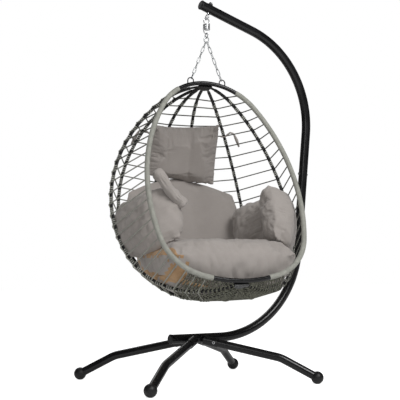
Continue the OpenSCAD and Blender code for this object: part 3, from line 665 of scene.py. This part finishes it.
def row_route(f, zigzag=0.0):
    """One row, from inside the left winding to a little lower inside the right one."""
    def at(k):
        return f + (zigzag if k % 2 else -zigzag)
    places = [member(0, at(0)) + (member(1, at(1)) - member(0, at(0))).normalized() * RIM_R]
    for k in RIBS:
        places += behind(k, at(k), member(k + 1, at(k + 1)) - member(k - 1, at(k - 1)))
    last = member(7, at(7) + RIM_END_LOWER * min(1.0, (1 - f) / LOWER_FADE))
    places.append(last + (member(6, at(6)) - last).normalized() * RIM_R)
    return [RIM_FRAME @ place for place in places]


rows = [row_route(FIRST_ROW + n * ROW_STEP) for n in range(ROWS)]
low_rows = [row_route(LOW_FIRST + LOW_STEP * n, LOW_ZIGZAG * (-1) ** n)
            for n in range(1, LOW_ROWS + 1)]
print("rows:", len(rows), "and", len(low_rows), "low ones")

# %% [markdown]
# ## The lashings
# What holds a row to a rib is a lashing: a thinner pale strand that runs down the
# rib and takes a few turns round it between two rows. Its route is a helix whose
# turns all fall in the middle of each spacing, so that a rib shows as black
# lengths with pale braided ones between.

# %% Lashing routes
LASH_R = 0.0022
LASH_SUNK = 0.3
LASH_TURNS = 3
LASH_STEPS = 30
LASH_SHARE = 0.52


def lashing(k):
    """The thin strand that winds round rib k between its rows."""
    places = []
    for n in range(ROWS - 1):
        for step in range(LASH_STEPS):
            share = step / LASH_STEPS
            f = FIRST_ROW + (n + share) * ROW_STEP
            turn = min(1.0, max(0.0, (share - 0.5) / LASH_SHARE + 0.5))
            angle = 2 * math.pi * LASH_TURNS * turn
            out, way = outward(k, f)
            side = way.cross(out)
            places.append(RIM_FRAME @ (member(k, f) + (COVER_R + LASH_SUNK * LASH_R)
                                       * (math.cos(angle) * out + math.sin(angle) * side)))
    return places


# %% Make the strands
# Low on the left, in front of the cushions' outer sides, the rows are painted as lit: they
# take the pale wicker, while the rest keep the painted shade of the darker rows.
LIT_ROWS_WEST, LIT_ROWS_UNDER = -0.22, 1.12
strands = wire("strands", rows, STRAND_R, sides=2)
low_strands = wire("low strands", low_rows, STRAND_R, sides=1)
lashings = wire("rib lashings", [lashing(k) for k in RIBS], LASH_R, sides=1)
paint(strands, painted_shade_weathered_rows)
strands.data.materials.append(pale_wicker)
for polygon in strands.data.polygons:
    if polygon.center.x < LIT_ROWS_WEST and polygon.center.z < LIT_ROWS_UNDER:
        polygon.material_index = 1
paint(low_strands, dark_olive_painted_shade)
paint(lashings, pale_lashing)
pick(strands)
low_strands.select_set(True)
lashings.select_set(True)
bpy.ops.object.join()
print("strands:", len(strands.data.polygons), "faces")

# %% [markdown]
# ## The winding on the ribs
# The ribs are wound with black strand before the rows go on, which makes them half
# as thick again as their tube. As on the rim, a sleeve with a ridge for each turn
# stands for the winding, with two points a turn because it is dark and thin.

# %% Rib winding
COVER_PITCH = 0.006
COVER_GROOVE = 0.94
COVER_FROM, COVER_SHARE = 0.045, 0.9


def cover_route(k):
    """Rib k's axis from just under the top hub to among the low rows, two places a turn."""
    length = rib_lengths[rib_of(k)] * COVER_SHARE
    count = 2 * round(length / COVER_PITCH)
    return [RIM_FRAME @ member(k, COVER_FROM + COVER_SHARE * step / count)
            for step in range(count + 1)]


def cover_swell(index, count):
    """A groove between each turn and the next."""
    return 1.0 if index % 2 else COVER_GROOVE


rib_covers = wire("rib_winding", [cover_route(k) for k in RIBS], COVER_R, cover_swell, sides=2)
paint(rib_covers, moulded_black)
seat_on(rib_covers, "basket", "black_plastic")
print("rib winding:", len(rib_covers.data.polygons), "faces")
seat_on(strands, "basket", "grey_wicker", *["strands_%d" % k for k in range(1, 8)])

# %% [markdown]
# ## Cushions
# A filled cushion is two panels sewn at a seam and pushed apart by the filling.
# The solids already hold its crown and its drawn-in sides, so each starts as a
# copy of its node, is cut finer, and is then blown up as cloth with its seam
# held. The cloth is let out by a few per cent, so the spare length goes into
# creases that run off the seams, as in a real cover.


# %% Copy a soft node as quads
WELD_UNDER = 0.00002
QUAD_FOLD = math.radians(60)
ROUNDING = 0.6


def soft_copy(node, name, cuts):
    """A finer, welded copy of a soft node, with its faces joined into quads."""
    piece = bpy.data.objects.new(name, frame["nodes"][node].data.copy())
    scene.collection.objects.link(piece)
    edit(piece,
         lambda: bpy.ops.mesh.remove_doubles(threshold=WELD_UNDER),
         lambda: bpy.ops.mesh.tris_convert_to_quads(
             face_threshold=QUAD_FOLD, shape_threshold=QUAD_FOLD),
         lambda: bpy.ops.mesh.subdivide(number_cuts=cuts, smoothness=ROUNDING))
    return piece


def sharp_points(piece, angle):
    """The points on a piece's seam: those on edges that fold more than an angle."""
    points = set()
    faces = {}
    for polygon in piece.data.polygons:
        for key in polygon.edge_keys:
            faces.setdefault(key, []).append(polygon.normal)
    for key, normals in faces.items():
        if len(normals) == 2 and normals[0].angle(normals[1], 0) > angle:
            points.update(key)
    return sorted(points)


# %% Blow up a cover
SEAM_FOLD = math.radians(38)
COVER_STIFFNESS, COVER_BENDING = 8.0, 0.25
COVER_MASS = 0.2
CLOTH_QUALITY, CLOTH_FRAMES = 5, 20


def fill_cover(piece, pressure, let_out, cap):
    """Cloth pressure on a closed cover; no point may move further than the cap."""
    seam = piece.vertex_groups.new(name="seam")
    held = sharp_points(piece, SEAM_FOLD)
    seam.add(held, 1.0, "REPLACE")
    rest = [vertex.co.copy() for vertex in piece.data.vertices]
    pick(piece)
    bpy.ops.object.modifier_add(type="CLOTH")
    settings = piece.modifiers[-1].settings
    settings.quality = CLOTH_QUALITY
    settings.mass = COVER_MASS
    settings.tension_stiffness = COVER_STIFFNESS
    settings.compression_stiffness = COVER_STIFFNESS
    settings.shear_stiffness = COVER_STIFFNESS
    settings.bending_stiffness = COVER_BENDING
    settings.use_pressure = True
    settings.uniform_pressure_force = pressure
    settings.shrink_min = -let_out
    settings.vertex_group_mass = seam.name
    settings.pin_stiffness = 1.0
    settings.effector_weights.gravity = 0
    for moment in range(1, CLOTH_FRAMES + 1):
        scene.frame_set(moment)
    apply_all(piece)
    scene.frame_set(1)
    for vertex, home in zip(piece.data.vertices, rest):
        move = vertex.co - home
        if move.length > cap:
            vertex.co = home + move * (cap / move.length)
    print(piece.name, "seam points", len(held), "of", len(rest))


# %% [markdown]
# ### Folds
# A simulation of twenty frames fills a cover but leaves it smooth. The gathers at
# the seams and the slack folds between them are moved in afterwards: each point
# goes along its normal by a noise that is sharp in its valleys and soft on top.

# %% Walk a seam
def seam_runs(piece, held):
    """Each seam point's place and its length along the seam, walked point by point."""
    beside = {index: [] for index in held}
    for edge in piece.data.edges:
        a, b = edge.vertices
        if a in beside and b in beside:
            beside[a].append(b)
            beside[b].append(a)
    runs, left = [], set(held)
    while left:
        now, length = left.pop(), 0.0
        while now is not None:
            place = piece.data.vertices[now].co
            runs.append((place.copy(), length))
            steps = [other for other in beside[now] if other in left]
            following = steps[0] if steps else None
            if following is not None:
                left.discard(following)
                length += (piece.data.vertices[following].co - place).length
            now = following
    return runs


# %% Folds as heights
SEAM_EDGE = 0.005
INWARD_PACE = 5
FINER_PACE, FINER_INWARD, FINER_SEED = 2.3, 9, 7
PLEAT_RIDGE, PLEAT_FINER, PLEAT_SINK = 2.2, 0.9, 0.75
SLACK_SLANT, SLACK_LENGTHENED, SLACK_FINER_PACE = 0.3, 0.6, 2.1
SLACK_RIDGE, SLACK_FINER, SLACK_SINK = 1.6, 0.5, 0.4


def swell(piece, height_at):
    """Moves each point along its normal by the height its place asks for."""
    places = [vertex.co.copy() for vertex in piece.data.vertices]
    normals = [vertex.normal.copy() for vertex in piece.data.vertices]
    moved = [place + normal * height_at(place) for place, normal in zip(places, normals)]
    piece.data.vertices.foreach_set("co", [value for place in moved for value in place])
    piece.data.update()


def pleat(piece, runs, depth, reach, pace, seed):
    """Gathers a cover along its seam: creases run off the seam and fade inwards."""
    tree = KDTree(len(runs))
    for index, (place, length) in enumerate(runs):
        tree.insert(place, index)
    tree.balance()

    def gathered(spot):
        place, index, away = tree.find(spot)
        length = runs[index][1]
        ridge = abs(noise.noise((length * pace, away * INWARD_PACE, seed)))
        finer = abs(noise.noise((length * pace * FINER_PACE, away * FINER_INWARD,
                                 seed + FINER_SEED)))
        fade = math.exp(-away / reach) * (1 - math.exp(-away / SEAM_EDGE))
        return depth * fade * (PLEAT_RIDGE * ridge + PLEAT_FINER * finer - PLEAT_SINK)

    swell(piece, gathered)


def crumple(piece, depth, size, seed):
    """Shallow slack folds over the whole cover, with sharp valleys and soft tops."""
    def slackened(spot):
        slanted = Vector((spot.x + SLACK_SLANT * spot.z, spot.y,
                          SLACK_LENGTHENED * spot.z)) / size
        fold = abs(noise.noise(slanted + Vector((seed, 0, 0))))
        finer = noise.noise(slanted * SLACK_FINER_PACE + Vector((0, seed, 0)))
        return depth * (SLACK_RIDGE * fold + SLACK_FINER * finer - SLACK_SINK)

    swell(piece, slackened)


# %% [markdown]
# ### Plump side cushions
# The side cushions are stuffed fuller than their solids, which keep clear of the
# seat and the back. Plain scaling would push them through the basket's wall, so
# each point that moves along the wall also moves inwards by the wall's own curve.

# %% Plump a pad
WALL_R = 0.40


def plump(piece, wide, tall, thick):
    """Fills a pad out along the curved wall that carries it, held at its top edge."""
    places = [vertex.co.copy() for vertex in piece.data.vertices]
    middle = sum(places, Vector()) / len(places)
    inward = (RIM_FRAME @ CORE - middle).normalized()
    down = (Vector((0, 0, -1)) + inward * inward.z).normalized()
    across = inward.cross(down)
    wall = min((place - middle).dot(inward) for place in places)
    top = min((place - middle).dot(down) for place in places)
    for vertex, place in zip(piece.data.vertices, places):
        a, b, c = ((place - middle).dot(way) for way in (across, down, inward))
        wider, lower = a * wide, top + (b - top) * tall
        curved = (wider ** 2 + lower ** 2 - a ** 2 - b ** 2) / (2 * WALL_R)
        vertex.co = (middle + across * wider + down * lower
                     + inward * (wall + (c - wall) * thick + curved))
    piece.data.update()


# %% [markdown]
# ### Make the cushions
# All seven soft parts go through the same steps and differ only in numbers: the
# pressure, how far the cloth is let out, the cap on its movement, and the folds.
# A pleat's numbers are depth, reach, pace and seed, and a slack fold's are depth,
# size and seed.

# %% One cushion
PAD_CUTS = 3
PLEAT_FOLD = math.radians(30)


def dress_pad(node, name, fill, pleats=None, slack=None, fuller=None, shift=(0, 0, 0),
              material=taupe_cloth, slot="taupe_fabric", **filling):
    piece = soft_copy(node, name, PAD_CUTS)
    piece.data.transform(Matrix.Translation(shift))
    if fuller:
        plump(piece, *fuller)
    fill_cover(piece, **filling)
    pick(piece)
    bpy.ops.object.modifier_add(type="SUBSURF")
    piece.modifiers[-1].levels = 1
    piece.modifiers[-1].render_levels = 1
    apply_all(piece)
    if pleats:
        pleat(piece, seam_runs(piece, sharp_points(piece, PLEAT_FOLD)), *pleats)
    if slack:
        crumple(piece, *slack)
    bpy.ops.object.shade_smooth()
    paint(piece, material)
    seat_on(piece, "basket", slot, node)
    return piece


# %% The cushions
seat_pad = dress_pad("seat_cushion", "seat_pad", 0.7, pressure=3.0, let_out=0.04, cap=0.018,
                     pleats=(0.010, 0.07, 22.0, 1.0), slack=(0.008, 0.06, 3.0))
dress_pad("back_cushion", "back_pad", 0.8, pressure=2.5, let_out=0.02, cap=0.010,
          pleats=(0.003, 0.03, 20.0, 2.0))
dress_pad("side_cushion_left", "side_pad_left", 0.6, pressure=2.0, let_out=0.05, cap=0.014,
          fuller=(1.0, 1.18, 1.35),
          pleats=(0.009, 0.09, 24.0, 3.0), slack=(0.008, 0.05, 5.0))
dress_pad("side_cushion_right", "side_pad_right", 0.6, pressure=2.0, let_out=0.05, cap=0.014,
          fuller=(1.1, 1.2, 1.15),
          pleats=(0.009, 0.09, 24.0, 4.0), slack=(0.008, 0.05, 6.0))
dress_pad("head_pillow", "head_pad", 0.7, pressure=3.5, let_out=0.04, cap=0.014,
          shift=(-0.016, 0.010, 0), pleats=(0.009, 0.04, 30.0, 5.0))
dress_pad("side_flap_left", "rolled_flap", 0.4, pressure=1.5, let_out=0.04, cap=0.008,
          slack=(0.004, 0.05, 8.0))
liner = dress_pad("seat_liner", "liner_cloth", 0.2, pressure=0.5, let_out=0.03, cap=0.004,
                  material=tan_cloth, slot="tan_fabric")

# %% [markdown]
# ### Two cloths on one cover
# The tan lining cloth also shows at the seat's left end, at its tip and under it,
# while the liner's right half and underside are faced with taupe. A second
# material on chosen faces does it, without cutting the piece in two.

# %% Tan and taupe faces
TAN_FROM, TAN_UNDER, TAN_TIP = 0.03, 0.10, 0.045
TAN_FACES_DOWN, FACED_BELOW = -0.25, -0.6
seat_low, seat_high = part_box("seat_cushion")
seat_pad.data.materials.append(tan_cloth)
for polygon in seat_pad.data.polygons:
    beyond = polygon.center.x - seat_low.x
    under = TAN_FROM < beyond < TAN_UNDER and polygon.normal.z < TAN_FACES_DOWN
    if under or (beyond < TAN_TIP and polygon.normal.z > 0):
        polygon.material_index = 1
seat_middle = (seat_low.x + seat_high.x) / 2
liner.data.materials.append(taupe_cloth)
for polygon in liner.data.polygons:
    if polygon.center.x > seat_middle or polygon.normal.z < FACED_BELOW:
        polygon.material_index = 1
for piece in (seat_pad, liner):
    second = sum(polygon.material_index for polygon in piece.data.polygons)
    print(piece.name, second, "faces in the second cloth")

# %% [markdown]
# ### The pillow's ties
# Two short tubes of cloth hold the pillow to a rib. They are too thin to blow up
# as cloth, so their copies are only swelled a little and lifted to the knot.

# %% The pillow's ties
TIE_LIFT = Vector((0.0, 0.0, 0.045))
TIE_FATTER = 0.0022
ties = soft_copy("pillow_ties", "pillow_tie_cords", 1)
swell(ties, lambda spot: TIE_FATTER)
ties.data.transform(Matrix.Translation(TIE_LIFT))
bpy.ops.object.shade_smooth()
paint(ties, taupe_cloth)
seat_on(ties, "basket", "taupe_fabric", "pillow_ties")
print("ties:", len(ties.data.polygons), "faces")

# %% [markdown]
# ## Floor
# The chair stands on a pale floor that fades into a white room. A glow that only
# the camera sees lifts the floor to white and keeps the chair's shadow, so no
# extra light falls on the chair itself.

# %% Floor
MARK_TONE = 0.97


def floor_finish(name, colour, glow):
    """A pale matt surface that reads as near white to the camera."""
    material = bpy.data.materials.new(name)
    material.use_nodes = True
    tree = material.node_tree
    shader = tree.nodes["Principled BSDF"]
    shader.inputs["Roughness"].default_value = 0.9
    shader.inputs["Specular IOR Level"].default_value = 0.1
    texture = add_node(tree, "ShaderNodeTexNoise", Scale=3.0, Detail=4.0)
    light, dark = (*colour, 1), (*[c * MARK_TONE for c in colour], 1)
    tree.links.new(mixed(tree, texture.outputs["Fac"], light, dark),
                   shader.inputs["Base Color"])
    shader.inputs["Emission Color"].default_value = (1, 1, 1, 1)
    seen = tree.nodes.new("ShaderNodeLightPath").outputs["Is Camera Ray"]
    lift = add_node(tree, "ShaderNodeMath", {0: seen}, operation="MULTIPLY")
    lift.inputs[1].default_value = glow
    tree.links.new(lift.outputs[0], shader.inputs["Emission Strength"])
    return material


bpy.ops.mesh.primitive_plane_add(size=FLOOR_SIZE, location=(0, 0, 0))
floor = bpy.context.object
floor.name = "floor"
paint(floor, floor_finish("pale floor", (0.92, 0.92, 0.92), 0.75))
print("floor:", FLOOR_SIZE, "m square")

# %% [markdown]
# ## Light
# One big soft lamp high in front lights the cushions, a weak one fills the left
# side and one behind draws the edges of the tubes. The room's own light is low,
# so that the basket's inside stays darker than its front. The camera still sees
# the room as white, and gloss sees it as dark, which keeps the black tubes black.

# %% Room and lamps
DIFFUSE_LIGHT, GLOSSY_LIGHT, SEEN_WHITE = 0.36, 0.05, 1.0
world = bpy.data.worlds.new("white room")
scene.world = world
world.use_nodes = True
room = world.node_tree
background = room.nodes["Background"]
ray = room.nodes.new("ShaderNodeLightPath")
unseen = mixed(room, ray.outputs["Is Glossy Ray"], (*[DIFFUSE_LIGHT] * 3, 1),
               (*[GLOSSY_LIGHT] * 3, 1))
room.links.new(mixed(room, ray.outputs["Is Camera Ray"], unseen, (*[SEEN_WHITE] * 3, 1)),
               background.inputs["Color"])
background.inputs["Strength"].default_value = 1.0
LAMPS = (
    ("key lamp", (0.3, -4.0, 4.0), 2.0, 150),
    ("fill lamp", (-2.8, -3.2, 2.2), 1.2, 15),
    ("rear lamp", (0.5, 3.2, 3.2), 2.4, 30),
)
AIM = Vector((0.0, 0, 0.9))
for name, place, size, power in LAMPS:
    bpy.ops.object.light_add(type="AREA", location=place)
    lamp = bpy.context.object
    lamp.name = name
    lamp.data.size = size
    lamp.data.energy = power
    lamp.rotation_euler = (AIM - Vector(place)).to_track_quat("-Z", "Y").to_euler()
scene.view_settings.view_transform = "Standard"
print("lamps:", len(LAMPS))
